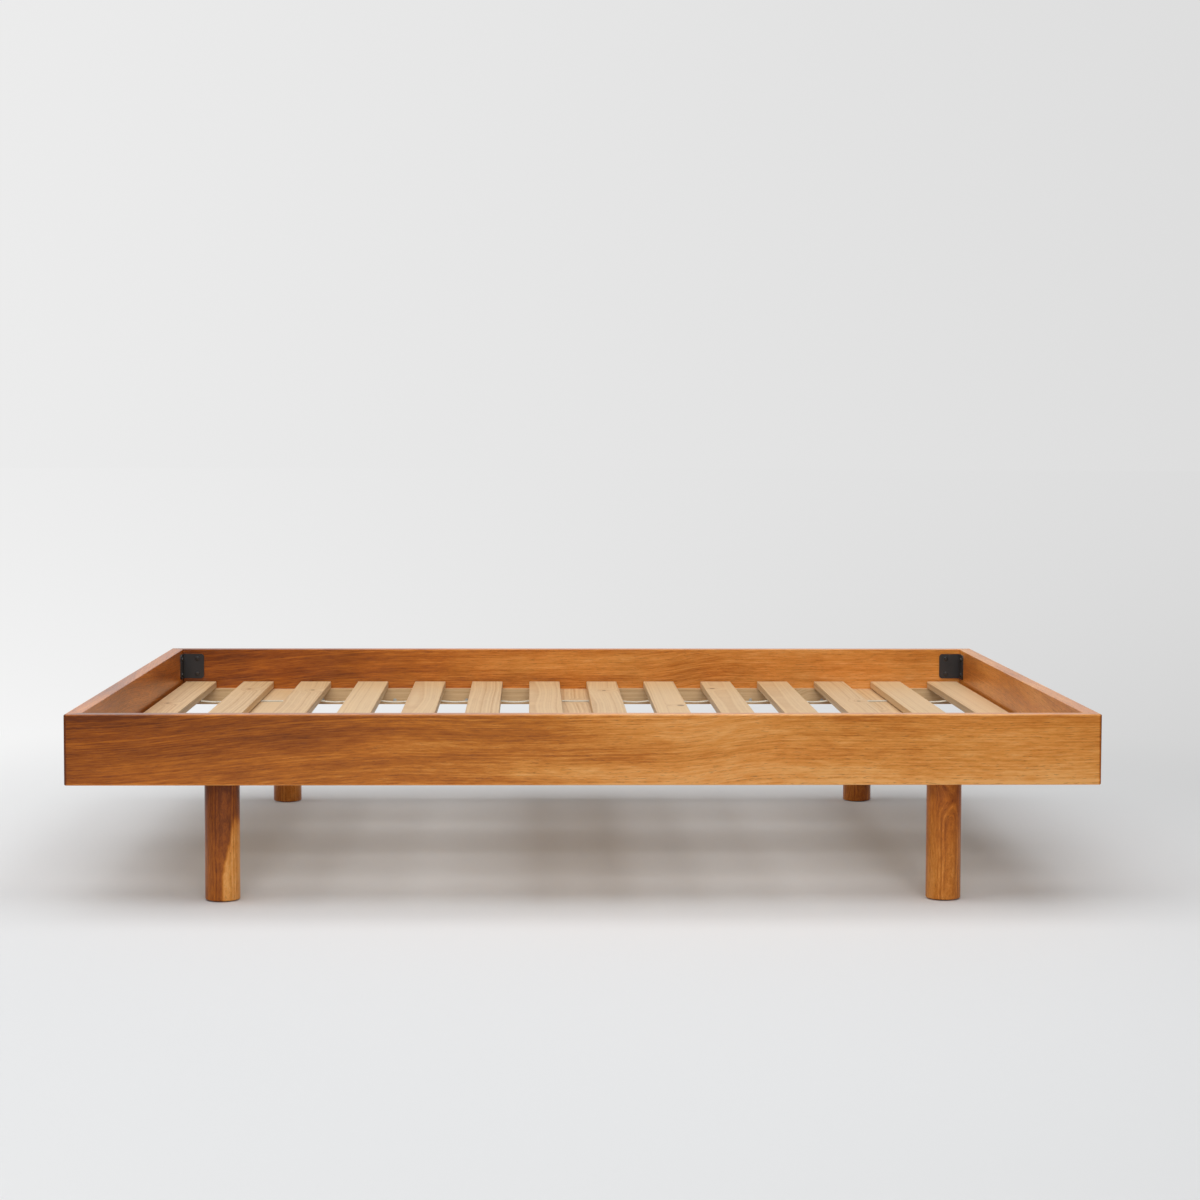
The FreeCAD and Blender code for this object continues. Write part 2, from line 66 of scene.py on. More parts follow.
# ---- Places and sizes read from the frame, in metres -------------------------------------------
CAD_LOW, CAD_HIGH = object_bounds()
CORNERS = ("head_right", "head_left", "foot_right", "foot_left")
SIDE_RAILS = ("right_side_rail", "left_side_rail")
END_RAILS = ("head_rail", "foot_rail")
SLATS = tuple(sorted(
    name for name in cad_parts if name.startswith("slat_") and name[5:].isdigit()
))
BEARERS = ("head_bearer", "middle_bearer", "foot_bearer")


def middle(node):
    """The middle of a node's box."""
    low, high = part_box(node)
    return (Vector(low) + Vector(high)) / 2


def extent(node):
    """How long a node's box is along X, Y and Z."""
    low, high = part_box(node)
    return Vector(high) - Vector(low)


RAIL_MIDDLE = middle("left_side_rail")
END_RAIL_MIDDLE = middle("foot_rail")
RAIL_HALF = extent("left_side_rail").z / 2
LEG_MIDDLE = middle("leg_foot_left")
LEDGER_MIDDLE = middle("left_ledger")
END_LEDGER_MIDDLE = middle("foot_ledger")
BEARER_MIDDLE = middle("foot_bearer")
SLAT_FIRST = middle(SLATS[0])
SLAT_PITCH = middle(SLATS[1]).x - SLAT_FIRST.x
MITRE_OFFSET = CAD_HIGH.x - CAD_HIGH.y

# ---- Ribbons: how a ribbon is shaped -----------------------------------------------------------
GAP_SHARE = (0.25, 0.5, 0.75)   # where it is shaped between two slats
GAP_SAG = (0.75, 1.0, 0.75)     # how deep it hangs there, as a share of its sag
UNDER_SLAT = 0.00005            # air between the tape and a slat
NEARBY = 0.0005                 # a point this near to a cut belongs to it
SELVEDGE_WIDTH = 0.0026         # the closer weave along each edge
SELVEDGE_CORD = 0.0009          # distance between its cords

# ---- Timber: how the oak and the pine are marked -----------------------------------------------
# Weights of the rings, the streaks, the bands and the slow tone
RAIL_CONTRAST = (0.26, 0.58, 0.58, 0.50)
LEG_CONTRAST = (0.34, 0.58, 0.50, 0.40)
PINE_CONTRAST = (0.85, 0.35, 0.20, 0.25)
OAK_PORES = 0.8                 # strength of the oak's open pores
WARM_PATCH = (1.0, 0.78, 0.55)  # what a warmer patch does to the colour
WORN_HIGHLIGHT_TONE = 0.18                # how much paler an edge is, for rubbed wear and a painted highlight
PORE_SHADE = 0.5                # a pore's share of the deepest shade
SEAM_SHADE = 0.3                # a joint line's
KNOT_SHADE = 0.35               # and a knot's
FIBRE_DEPTH = 0.0003            # height of the fibres and depth of the pores
CORNER_SHADE = 0.35              # how much painted shade darkens the outer corner of two rails
CORNER_WIDTH = 0.0065           # and how far from the corner that ends
RAIL_FILM = 0.18                # weight of the oil that shines on the rails
PINE_DRIER = 0.12               # how much rougher the pine is than the oak

# ---- Studio: where its things are --------------------------------------------------------------
KEY_PLACE = (-1.1, -0.7, 5.0)
KEY_TARGET = (-1.099, -0.7, 0.0)   # not quite below, so that the light lies along the bed
FRONT_PLACE = (0.2, -9.0, 4.5)
FRONT_TARGET = (0.1, -0.8, 0.4)
FRONT_SIZE = (5.0, 3.2)
FLOOR_RADIUS = 60
FADE_FRONT = 0.8                # the fade is measured from a point this far before the middle
FADE_WEIGHTS = (1.7, 0.8)       # and counts more along the bed than across it


# ---- Settings ----------------------------------------------------------------------------------
def colour(name, description, default):
    return FloatVectorProperty(
        name=name, description=description, subtype="COLOR", size=3, min=0, max=1, default=default
    )


class BED_timber(bpy.types.PropertyGroup):
    """Colours and grain of the oak and the pine"""

    oak_deep: colour("Oak, deepest", "Darkest streaks of the oiled oak", (0.160, 0.034, 0.0020))
    oak_dark: colour("Oak, dark", "Latewood of the oiled oak", (0.335, 0.086, 0.0050))
    oak_middle: colour("Oak, middle", "Body colour of the oiled oak", (0.540, 0.166, 0.0135))
    oak_light: colour("Oak, light", "Pale wood of the oiled oak", (0.740, 0.300, 0.0550))
    oak_pale: colour("Oak, palest", "Palest streaks of the oiled oak", (0.860, 0.440, 0.1400))
    pine_dark: colour("Pine, dark", "Latewood lines of the pine", (0.470, 0.245, 0.090))
    pine_light: colour("Pine, light", "Body colour of the pine", (0.735, 0.520, 0.290))
    oil_roughness: FloatProperty(
        name="Oil roughness", description="Roughness of the oiled surface",
        min=0, max=1, default=0.33,
    )
    oak_ring: FloatProperty(
        name="Oak ring width", description="Usual width of a growth ring in the oak",
        unit="LENGTH", min=0.001, max=0.02, default=0.0032,
    )
    pine_ring: FloatProperty(
        name="Pine ring width", description="Usual width of a growth ring in the pine",
        unit="LENGTH", min=0.001, max=0.02, default=0.0045,
    )


class BED_fittings(bpy.types.PropertyGroup):
    """Colours of the metal fittings and the foot pads"""

    powder_coat: colour("Powder coat", "Coating of the corner brackets", (0.018, 0.018, 0.020))
    black_steel: colour("Blackened steel", "Colour of the bolts", (0.075, 0.073, 0.072))
    zinc: colour("Zinc plating", "Colour of the screws, plates and staples", (0.600, 0.590, 0.560))
    brass: colour("Brass", "Colour of the threaded inserts", (0.720, 0.520, 0.230))
    rubber: colour("Rubber", "Colour of the foot pads", (0.020, 0.018, 0.016))


class BED_ribbons(bpy.types.PropertyGroup):
    """Shape and weave of the cotton ribbons under the slats"""

    cotton: colour("Cotton", "Colour of the woven tape", (0.700, 0.640, 0.520))
    thickness: FloatProperty(
        name="Thickness", description="Thickness of the tape",
        unit="LENGTH", min=0.0003, max=0.002, default=0.0009,
    )
    sag: FloatProperty(
        name="Sag", description="How far a ribbon hangs between two slats",
        unit="LENGTH", min=0, max=0.01, default=0.0026,
    )
    sag_over_bearer: FloatProperty(
        name="Sag over a bearer", description="How far a ribbon hangs where a bearer is below it",
        unit="LENGTH", min=0, max=0.001, default=0.0004,
    )
    thread: FloatProperty(
        name="Thread", description="Distance from one thread to the next",
        unit="LENGTH", min=0.0003, max=0.003, default=0.0009,
    )


class BED_studio(bpy.types.PropertyGroup):
    """Floor, light and camera"""

    floor: colour("Floor", "Colour of the floor", (0.765, 0.775, 0.785))
    surround: FloatProperty(
        name="Surround", description="Brightness of the space round the bed",
        min=0, max=4, default=0.79,
    )
    lean: FloatProperty(
        name="Lean", description="How much brighter the space is on the head side",
        min=0, max=1, default=0.306,
    )
    ambient: FloatProperty(
        name="Ambient", description="Strength of the light that comes from all round",
        min=0, max=4, default=0.12,
    )
    key_power: FloatProperty(
        name="Key light", description="Power of the large light above",
        unit="POWER", min=0, default=330,
    )
    key_size: FloatVectorProperty(
        name="Key size", description="Length and width of the large light",
        unit="LENGTH", size=2, min=0.1, default=(9.0, 6.0),
    )
    front_power: FloatProperty(
        name="Front light", description="Power of the light before the bed",
        unit="POWER", min=0, default=285,
    )
    fade_start: FloatProperty(
        name="Fade start", description="Where the floor begins to run into the space round it",
        unit="LENGTH", min=1, default=1.25,
    )
    fade_end: FloatProperty(
        name="Fade end", description="Where the floor has run into the space round it",
        unit="LENGTH", min=2, default=3.6,
    )
    camera_place: FloatVectorProperty(
        name="Camera place", description="Where the camera stands",
        subtype="TRANSLATION", size=3, default=(-0.1108, -6.0836, 0.9689),
    )
    camera_turn: FloatVectorProperty(
        name="Camera turn", description="How the camera is turned", subtype="EULER", size=3,
        default=(math.radians(90 - 3.717), math.radians(-0.152), math.radians(-1.507)),
    )
    lens: FloatProperty(
        name="Lens", description="Focal length on a frame 36 mm wide",
        unit="CAMERA", min=10, max=300, default=78.4,
    )


# ---- Shader maths ------------------------------------------------------------------------------
class Value:
    """A shader value that adds, subtracts, multiplies and divides like a number."""

    def __init__(self, graph, socket):
        self.graph = graph
        self.socket = socket

    def __add__(self, other):
        return self.graph.math("ADD", self, other)

    def __sub__(self, other):
        return self.graph.math("SUBTRACT", self, other)

    def __rsub__(self, other):
        return self.graph.math("SUBTRACT", other, self)

    def __mul__(self, other):
        return self.graph.math("MULTIPLY", self, other)

    def __truediv__(self, other):
        return self.graph.math("DIVIDE", self, other)

    __radd__ = __add__
    __rmul__ = __mul__


class Graph:
    """One material's nodes, made from expressions."""

    def __init__(self, owner):
        owner.use_nodes = True
        self.tree = owner.node_tree
        self.tree.nodes.clear()

    def node(self, kind, settings=None, sockets=None):
        """Adds a node, sets it up and fills its sockets with values or links."""
        made = self.tree.nodes.new(kind)
        for name, setting in (settings or {}).items():
            if name == "stops":
                self.set_stops(made.color_ramp, setting)
            else:
                setattr(made, name, setting)
        for name, given in (sockets or {}).items():
            if isinstance(given, Value):
                self.tree.links.new(given.socket, made.inputs[name])
            else:
                made.inputs[name].default_value = given
        return made

    @staticmethod
    def set_stops(ramp, stops):
        while len(ramp.elements) < len(stops):
            ramp.elements.new(1.0)
        for element, (position, shade) in zip(ramp.elements, stops):
            element.position = position
            element.color = (*shade, 1.0)

    def value(self, node, output):
        return Value(self, node.outputs[output])

    def math(self, operation, first, second=0.0):
        made = self.node("ShaderNodeMath", {"operation": operation}, {0: first, 1: second})
        return self.value(made, 0)

    def between(self, given, low, high, to_low=0.0, to_high=1.0):
        """A smooth step from to_low, where given is low, to to_high, where it is high."""
        made = self.node("ShaderNodeMapRange", {"interpolation_type": "SMOOTHSTEP"}, {
            "Value": given, "From Min": low, "From Max": high, "To Min": to_low, "To Max": to_high,
        })
        return self.value(made, "Result")

    def point(self):
        """The place on the object, as X, Y and Z values in metres."""
        coordinates = self.value(self.node("ShaderNodeTexCoord"), "Object")
        split = self.node("ShaderNodeSeparateXYZ", None, {"Vector": coordinates})
        return tuple(self.value(split, axis) for axis in "XYZ")

    def vector(self, x, y, z):
        made = self.node("ShaderNodeCombineXYZ", None, {"X": x, "Y": y, "Z": z})
        return self.value(made, "Vector")

    def noise(self, x, y, z, detail=2.0, roughness=0.5):
        made = self.node("ShaderNodeTexNoise", {"noise_dimensions": "3D"}, {
            "Vector": self.vector(x, y, z), "Scale": 1.0, "Detail": detail, "Roughness": roughness,
        })
        return self.value(made, 0)

    def noise_line(self, place, detail=2.0, roughness=0.5):
        """Noise along a line, by a single number."""
        made = self.node("ShaderNodeTexNoise", {"noise_dimensions": "1D"}, {
            "W": place, "Scale": 1.0, "Detail": detail, "Roughness": roughness,
        })
        return self.value(made, 0)

    def chance(self, number):
        """A steady random number from 0 to 1 for each whole number."""
        made = self.node("ShaderNodeTexWhiteNoise", {"noise_dimensions": "1D"}, {"W": number})
        return self.value(made, "Value")

    def ramp(self, given, stops):
        made = self.node("ShaderNodeValToRGB", {"stops": stops}, {"Fac": given})
        return self.value(made, "Color")

    def mix(self, factor, first, second, blend="MIX"):
        """Mixes two colours."""
        made = self.node("ShaderNodeMix", {"data_type": "RGBA", "blend_type": blend})
        sockets = (made.inputs[0], made.inputs[6], made.inputs[7])
        for socket, given in zip(sockets, (factor, first, second)):
            if isinstance(given, Value):
                self.tree.links.new(given.socket, socket)
            elif isinstance(given, (int, float)):
                socket.default_value = given
            else:
                socket.default_value = (*given, 1.0)
        return self.value(made, 2)

    def bump(self, height, depth, strength=1.0):
        """A surface normal from a height between 0 and 1, depth metres tall."""
        sockets = {"Strength": strength, "Distance": depth, "Height": height}
        made = self.node("ShaderNodeBump", None, sockets)
        return self.value(made, "Normal")

    def surface(self, sockets):
        """The finished surface, from a Principled shader's sockets."""
        shader = self.node("ShaderNodeBsdfPrincipled", None, sockets)
        output = self.node("ShaderNodeOutputMaterial")
        self.tree.links.new(shader.outputs[0], output.inputs["Surface"])


def new_material(name):
    """An empty material and its graph."""
    material = bpy.data.materials.new(name)
    return material, Graph(material)


def shaded(shade, share):
    """A colour made darker or paler, as a share of its own."""
    return [min(1.0, channel * share) for channel in shade]


def finish_nodes(names, material):
    """Gives the named parts of the frame their finish."""
    for name in names:
        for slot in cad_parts[name].material_slots:
            slot.material = material


# ---- Timber ------------------------------------------------------------------------------------
class Grain:
    """How one kind of timber is figured. Lengths are in metres."""

    def __init__(self, ring, pith_across, pith_depth, wander, contrast, pores):
        self.ring = ring                  # usual width of a growth ring
        self.pith_across = pith_across    # the tree's middle, beside the board's middle line
        self.pith_depth = pith_depth      # and below its face
        self.wander = wander              # how far the rings stray along the board
        self.contrast = contrast          # weights of the rings, streaks, bands and slow tone
        self.pores = pores                # strength of the open pores


def figure(graph, along, across, depth, grain, swirl=0.0):
    """The tone, pores, fibres and slow tone of a board at one point.

    A swirl pushes the rings aside round a knot. Each noise repeats a few times a metre along the
    grain and many more times across it, where it follows the rings.
    """
    stray = graph.noise(along * 1.3, across * 3.0, depth * 3.0, detail=1.0) - 0.5
    wave = graph.noise(along * 7.0, across * 9.0, depth * 9.0, detail=2.0) - 0.5
    side = across + stray * (2.0 * grain.wander) + wave * (0.35 * grain.wander) - grain.pith_across
    below = depth + stray * grain.wander + grain.pith_depth
    flow = graph.math("SQRT", side * side + below * below) + swirl
    rings = graph.noise_line(flow * (1.0 / grain.ring), detail=2.0, roughness=0.55)
    streaks = graph.noise(along * 21.0, flow * 260.0, depth * 260.0, detail=4.0, roughness=0.65)
    bands = graph.noise(along * 2.4, flow * 34.0, depth * 34.0, detail=3.0, roughness=0.55)
    tone = graph.noise(along * 1.9, across * 7.0, depth * 7.0, detail=2.0)
    parts = (rings, streaks, bands, tone)
    shade = 0.5 - sum(grain.contrast) / 2
    for part, weight in zip(parts, grain.contrast):
        shade = part * weight + shade
    early = graph.between(rings, 0.60, 0.42)
    dashes = graph.noise(along * 75.0, flow * 1150.0, depth * 1150.0, detail=1.0)
    pores = graph.between(dashes, 0.58, 0.72) * (early * 0.7 + 0.3) * grain.pores
    fibres = graph.noise(along * 95.0, flow * 1900.0, depth * 1900.0, detail=2.0, roughness=0.6)
    return shade + (fibres - 0.5) * 0.22, pores, streaks * 0.6 + fibres * 0.4, tone


def timber_surface(
    graph, parts, shades, roughness, warmth, darken, seam=None, worn_highlight=None, knot=None, film=0.0
):
    """The finished timber from its figure.

    Warmth is the strength of the warmer patches, and darken shifts the tone, which on the rails
    and legs also holds painted shade and light. Seam masks a joint line and knot a knot; the
    edge mask marks rubbed edges, which also carry a painted highlight. Film is the weight of the
    oil on top.
    """
    shade, pores, fibres, tone = parts
    shade = shade - darken
    # Rubbed edges are paler: wear, with a painted highlight along them.
    if worn_highlight is not None:
        shade = shade + worn_highlight * WORN_HIGHLIGHT_TONE
    places = [(i + 0.5) / len(shades) for i in range(len(shades))]
    base = graph.ramp(shade, list(zip(places, shades)))
    base = graph.mix(graph.between(tone, 0.35, 0.68) * warmth, base, WARM_PATCH, "MULTIPLY")
    base = graph.mix(pores * 0.6, base, shaded(shades[0], PORE_SHADE))
    if knot is not None:
        base = graph.mix(knot * (fibres * 0.5 + 0.5), base, shaded(shades[0], KNOT_SHADE))
    height = fibres * 0.5 - pores * 0.6 + 0.5
    if seam is not None:
        base = graph.mix(seam * 0.8, base, shaded(shades[0], SEAM_SHADE))
        height = height - seam * 0.7
    graph.surface({
        "Base Color": base,
        "Roughness": fibres * 0.12 + pores * 0.15 + (roughness - 0.06),
        "IOR": 1.45,
        "Specular IOR Level": 0.38,
        "Coat Weight": film,
        "Coat Roughness": 0.18,
        "Normal": graph.bump(height, FIBRE_DEPTH, 0.7),
    })


def oak_shades(timber):
    """The oak's colours from its deepest to its palest."""
    names = ("deep", "dark", "middle", "light", "pale")
    return [tuple(getattr(timber, f"oak_{name}")) for name in names]


def pine_shades(timber):
    """The pine's colours, from its latewood to its palest wood."""
    shades = []
    for share in (0.0, 0.45, 0.85, 1.0, 1.12):
        pairs = zip(timber.pine_dark, timber.pine_light)
        shades.append(tuple(min(1.0, dark + (light - dark) * share) for dark, light in pairs))
    return shades


def from_knot(graph, along, across):
    """How far a point is from a knot, whose rings are longer along the grain than across it."""
    return graph.math("SQRT", along * along * 0.36 + across * across)


def from_rail_edge(graph, z):
    """How far a point is from the level of a rail's upper or lower edge."""
    return RAIL_HALF - graph.math("ABSOLUTE", z - RAIL_MIDDLE.z)


def rubbed_highlit_edge(graph, first, second):
    """A mask of wear and painted highlight where two faces meet, from the distances to them."""
    return graph.between(graph.math("MAXIMUM", first, second), 0.0045, 0.0015)


def mitre_seam(graph, x, y):
    """A mask of the hair line where two rails meet at a corner."""
    along, across = graph.math("ABSOLUTE", x), graph.math("ABSOLUTE", y)
    away = graph.math("ABSOLUTE", along - across - MITRE_OFFSET)
    return graph.between(away, 0.00045, 0.00015)


def painted_corner_shade(graph, x, y):
    """A mask of painted shade down the outer corner of two rails, on their rounded arris."""
    to_end = CAD_HIGH.x - graph.math("ABSOLUTE", x)
    to_side = CAD_HIGH.y - graph.math("ABSOLUTE", y)
    return graph.between(graph.math("MAXIMUM", to_end, to_side), CORNER_WIDTH, 0.0020)


def rail_surface(graph, timber, parts, darken, worn_highlight, seam):
    """The oiled face of a rail."""
    shades, roughness = oak_shades(timber), timber.oil_roughness
    timber_surface(graph, parts, shades, roughness, 0.35, darken, seam, worn_highlight, film=RAIL_FILM)


def side_rail_oak(timber):
    """Oiled oak with its grain along the bed, rising from the head end and past the middle."""
    material, graph = new_material("side_rail_oak")
    x, y, z = graph.point()
    side = graph.math("SIGN", y)
    depth = graph.math("ABSOLUTE", y) - RAIL_MIDDLE.y
    rise = graph.between(x, -1.15, -0.35, 0.0, 0.050) + graph.between(x, 0.16, 0.42, 0.0, 0.026)
    across = z - RAIL_MIDDLE.z - rise
    grain = Grain(timber.oak_ring, -0.20, 0.075, 0.011, RAIL_CONTRAST, OAK_PORES)
    parts = figure(graph, x + side * 3.7 + 1.0, across, depth, grain)   # another board each side
    # Darker towards the head end, partly the boards' own tone and partly painted shade; darker
    # towards the top and paler towards the bottom: painted shade above and painted light below.
    darken = graph.between(x, -1.25, 0.25, 0.33, -0.17) + (z - RAIL_MIDDLE.z) * 0.7
    # Painted shade down the outer corner where two rails meet.
    darken = darken + painted_corner_shade(graph, x, y) * CORNER_SHADE
    # Paler upper and lower edges: rubbed wear and a painted highlight.
    worn_highlight = rubbed_highlit_edge(graph, from_rail_edge(graph, z), CAD_HIGH.y - graph.math("ABSOLUTE", y))
    rail_surface(graph, timber, parts, darken, worn_highlight, mitre_seam(graph, x, y))
    return material


def end_rail_oak(timber):
    """Oiled oak with its grain across the bed."""
    material, graph = new_material("end_rail_oak")
    x, y, z = graph.point()
    side = graph.math("SIGN", x)
    depth = graph.math("ABSOLUTE", x) - END_RAIL_MIDDLE.x
    rise = graph.between(y * side, -0.7, 0.3, 0.0, 0.05)
    across = z - END_RAIL_MIDDLE.z - rise
    grain = Grain(timber.oak_ring, 0.19, 0.090, 0.012, RAIL_CONTRAST, OAK_PORES)
    parts = figure(graph, y + side * 5.3 + 9.0, across, depth, grain)
    # The head rail is a darker tone; painted shade runs down the outer corners.
    darken = side * -0.10 + painted_corner_shade(graph, x, y) * CORNER_SHADE + 0.02
    # Paler upper and lower edges: rubbed wear and a painted highlight.
    worn_highlight = rubbed_highlit_edge(graph, from_rail_edge(graph, z), CAD_HIGH.x - graph.math("ABSOLUTE", x))
    rail_surface(graph, timber, parts, darken, worn_highlight, mitre_seam(graph, x, y))
    return material


def leg_oak(timber):
    """Oiled oak with upright grain, turned round.

    The right leg at the head has a painted patch of light low on one side, where the rail's
    shadow ends, and the one at the foot has a small knot.
    """
    material, graph = new_material("leg_oak")
    x, y, z = graph.point()
    end = graph.math("SIGN", x)
    side = graph.math("SIGN", y)
    across = x - end * LEG_MIDDLE.x
    depth = y - side * LEG_MIDDLE.y
    grain = Grain(timber.oak_ring, 0.020, 0.070, 0.008, LEG_CONTRAST, OAK_PORES)
    near_foot = graph.between(end - side, 1.5, 1.9)      # only the right leg at the foot
    away = from_knot(graph, z - 0.212, across - 0.004)
    swirl = graph.between(away, 0.032, 0.0, 0.0, 0.010) * near_foot
    parts = figure(graph, z * 2.4 + end * 4.1 + side * 1.9, across, depth, grain, swirl)
    # A painted patch of light low on one side of this leg, below where the rail's shadow ends.
    near_head = graph.between(end + side, -1.5, -1.9)    # only the right leg at the head
    edge = across - graph.between(z, 0.04, 0.17, 0.002, 0.022)
    painted_light_patch = graph.between(edge + graph.noise(z * 14.0, across * 30.0, end) * 0.008, 0.002, 0.010)
    painted_light_patch = painted_light_patch * graph.between(z, 0.185, 0.150) * near_head
    # The head legs are darker than the foot legs, partly tone and partly painted shade. At the
    # back, the head leg is painted lighter and the foot leg painted darker, as their light and
    # shade. The painted patch of light is paler.
    darken = 0.13 - end * 0.11 + (side + 1) * end * 0.07 - painted_light_patch * 0.45
    # Painted shade: darker towards the top, under the rail, and on the foot legs towards the foot
    # end.
    darken = darken + graph.between(z, 0.05, 0.24, -0.07, 0.10) + across * (end + 1) * 0.9
    timber_surface(graph, parts, oak_shades(timber), timber.oil_roughness, 0.2, darken)
    return material


def pine_along(name, timber, axis, centre, stride=0.0):
    """Pine whose grain runs along X or Y. Boards a stride apart are cut from other timber."""
    material, graph = new_material(name)
    x, y, z = graph.point()
    depth = z - centre.z
    if axis == "X":
        board = graph.math("SIGN", y)
        along, across = x, graph.math("ABSOLUTE", y) - centre.y
    elif stride:
        board = graph.math("ROUND", (x - centre.x) / stride)
        along, across = y, x - centre.x - board * stride
    else:
        board = graph.math("SIGN", x)
        along, across = y, graph.math("ABSOLUTE", x) - centre.x
    luck = graph.chance(board + 0.5)
    knot_along = (graph.chance(board + 31.5) - 0.5) * 1.3
    knot_across = (graph.chance(board + 62.5) - 0.5) * 0.05
    away = from_knot(graph, along - knot_along, across - knot_across)
    knotty = graph.between(graph.chance(board + 93.5), 0.30, 0.31)
    swirl = graph.between(away, 0.040, 0.0, 0.0, 0.020) * knotty
    knot = graph.between(away + luck * 0.005, 0.0105, 0.0080) * knotty
    grain = Grain(timber.pine_ring, 0.0, 0.070, 0.010, PINE_CONTRAST, 0.0)
    parts = figure(graph, along + board * 6.7, across + (luck - 0.5) * 0.16, depth, grain, swirl)
    darken = (luck - 0.5) * 0.16 + graph.between(away, 0.020, 0.007, 0.0, 0.14) * knotty
    roughness = timber.oil_roughness + PINE_DRIER
    timber_surface(graph, parts, pine_shades(timber), roughness, 0.15, darken, knot=knot)
    return material


def dowel_beech(timber):
    """Plain pale beech for the dowels."""
    material, graph = new_material("dowel_beech")
    x, y, z = graph.point()
    fleck = graph.noise(x * 400.0, y * 400.0, z * 900.0, detail=2.0)
    base = graph.ramp(fleck, [(0.35, timber.pine_dark), (0.55, timber.pine_light)])
    graph.surface({
        "Base Color": base, "Roughness": 0.55, "Normal": graph.bump(fleck, 0.0001, 0.5),
    })
    return material


# ---- Metal, rubber and cotton ------------------------------------------------------------------
def powder_coated(shade):
    """A fine satin powder coat with its slight orange peel."""
    material, graph = new_material("powder_coat")
    x, y, z = graph.point()
    peel = graph.noise(x * 900.0, y * 900.0, z * 900.0, detail=2.0)
    cloud = graph.noise(x * 30.0, y * 30.0, z * 30.0, detail=3.0)
    base = graph.mix(cloud, shaded(shade, 0.8), shaded(shade, 1.5))
    graph.surface({
        "Base Color": base, "Roughness": cloud * 0.12 + 0.40,
        "Normal": graph.bump(peel, 0.00008, 0.6),
    })
    return material


def metal(name, shade, roughness, brushing):
    """Bare or plated metal, with fine turning or drawing marks and slight clouding."""
    material, graph = new_material(name)
    x, y, z = graph.point()
    cloud = graph.noise(x * 120.0, y * 120.0, z * 120.0, detail=3.0)
    marks = graph.noise(x * 500.0, y * 500.0, z * 3000.0, detail=2.0)
    base = graph.mix(cloud, shaded(shade, 0.78), shaded(shade, 1.15))
    graph.surface({
        "Base Color": base, "Metallic": 1.0,
        "Roughness": cloud * 0.14 + marks * 0.08 + (roughness - 0.11),
        "Normal": graph.bump(marks, 0.00003, brushing),
    })
    return material


def pad_rubber(shade):
    """Dark rubber with a fine matt grain."""
    material, graph = new_material("pad_rubber")
    x, y, z = graph.point()
    speck = graph.noise(x * 1500.0, y * 1500.0, z * 1500.0, detail=2.0)
    dust = graph.noise(x * 60.0, y * 60.0, z * 60.0, detail=3.0)
    base = graph.mix(graph.between(dust, 0.45, 0.75) * 0.5, shade, shaded(shade, 2.6))
    graph.surface({
        "Base Color": base, "Roughness": speck * 0.15 + 0.70,
        "Normal": graph.bump(speck, 0.0001, 0.6),
    })
    return material


def woven_cotton(ribbons, middle_y, half_width):
    """Plain-woven tape: threads along and across it, and a closer selvedge at each edge."""
    material, graph = new_material("woven_cotton")
    x, y, z = graph.point()
    from_middle = graph.math("ABSOLUTE", graph.math("ABSOLUTE", y) - middle_y)
    warp = graph.math("SINE", y * (2 * math.pi / ribbons.thread))
    weft = graph.math("SINE", x * (2 * math.pi / ribbons.thread))
    weave = warp * weft * 0.5 + 0.5
    selvedge = graph.between(from_middle, half_width - SELVEDGE_WIDTH, half_width - 0.0020)
    cord = graph.math("SINE", y * (2 * math.pi / SELVEDGE_CORD)) * 0.5 + 0.5
    height = weave * (1 - selvedge) + cord * selvedge
    fuzz = graph.noise(x * 700.0, y * 1500.0, z * 1500.0, detail=3.0)
    wear = graph.noise(x * 14.0, y * 40.0, z * 40.0, detail=2.0)
    # The weave's and selvedge's low places are darker: painted shade between the threads. The fuzz
    # and wear vary the cotton's own tone.
    shade = height * 0.45 + fuzz * 0.35 + wear * 0.30
    cotton = ribbons.cotton
    stops = [(0.15, shaded(cotton, 0.55)), (0.55, list(cotton)), (0.95, shaded(cotton, 1.22))]
    base = graph.ramp(shade, stops)
    graph.surface({
        "Base Color": base, "Roughness": 0.92, "Sheen Weight": 0.25,
        "Normal": graph.bump(height * 0.8 + fuzz * 0.3, 0.0003, 0.9),
    })
    return material


# ---- Ribbons -----------------------------------------------------------------------------------
def edit(piece):
    """Puts one piece, and nothing else, in edit mode."""
    if bpy.context.object and bpy.context.object.mode != "OBJECT":
        bpy.ops.object.mode_set(mode="OBJECT")
    bpy.ops.object.select_all(action="DESELECT")
    piece.select_set(True)
    bpy.context.view_layer.objects.active = piece
    bpy.ops.object.mode_set(mode="EDIT")


def select_points(piece, wanted):
    """Selects the points for which wanted is true, in edit mode."""
    bpy.ops.mesh.select_mode(type="VERT")
    bpy.ops.mesh.select_all(action="DESELECT")
    bpy.ops.object.mode_set(mode="OBJECT")
    for point in piece.data.vertices:
        point.select = wanted(point.co)
    bpy.ops.object.mode_set(mode="EDIT")


def cut_across(x):
    """Cuts all of the piece in edit mode with a plane across X."""
    bpy.ops.mesh.select_all(action="SELECT")
    bpy.ops.mesh.bisect(plane_co=(x, 0, 0), plane_no=(1, 0, 0))


def over_a_bearer(x):
    """Whether a bearer lies under this place along the bed."""
    return any(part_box(name)[0][0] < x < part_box(name)[1][0] for name in BEARERS)


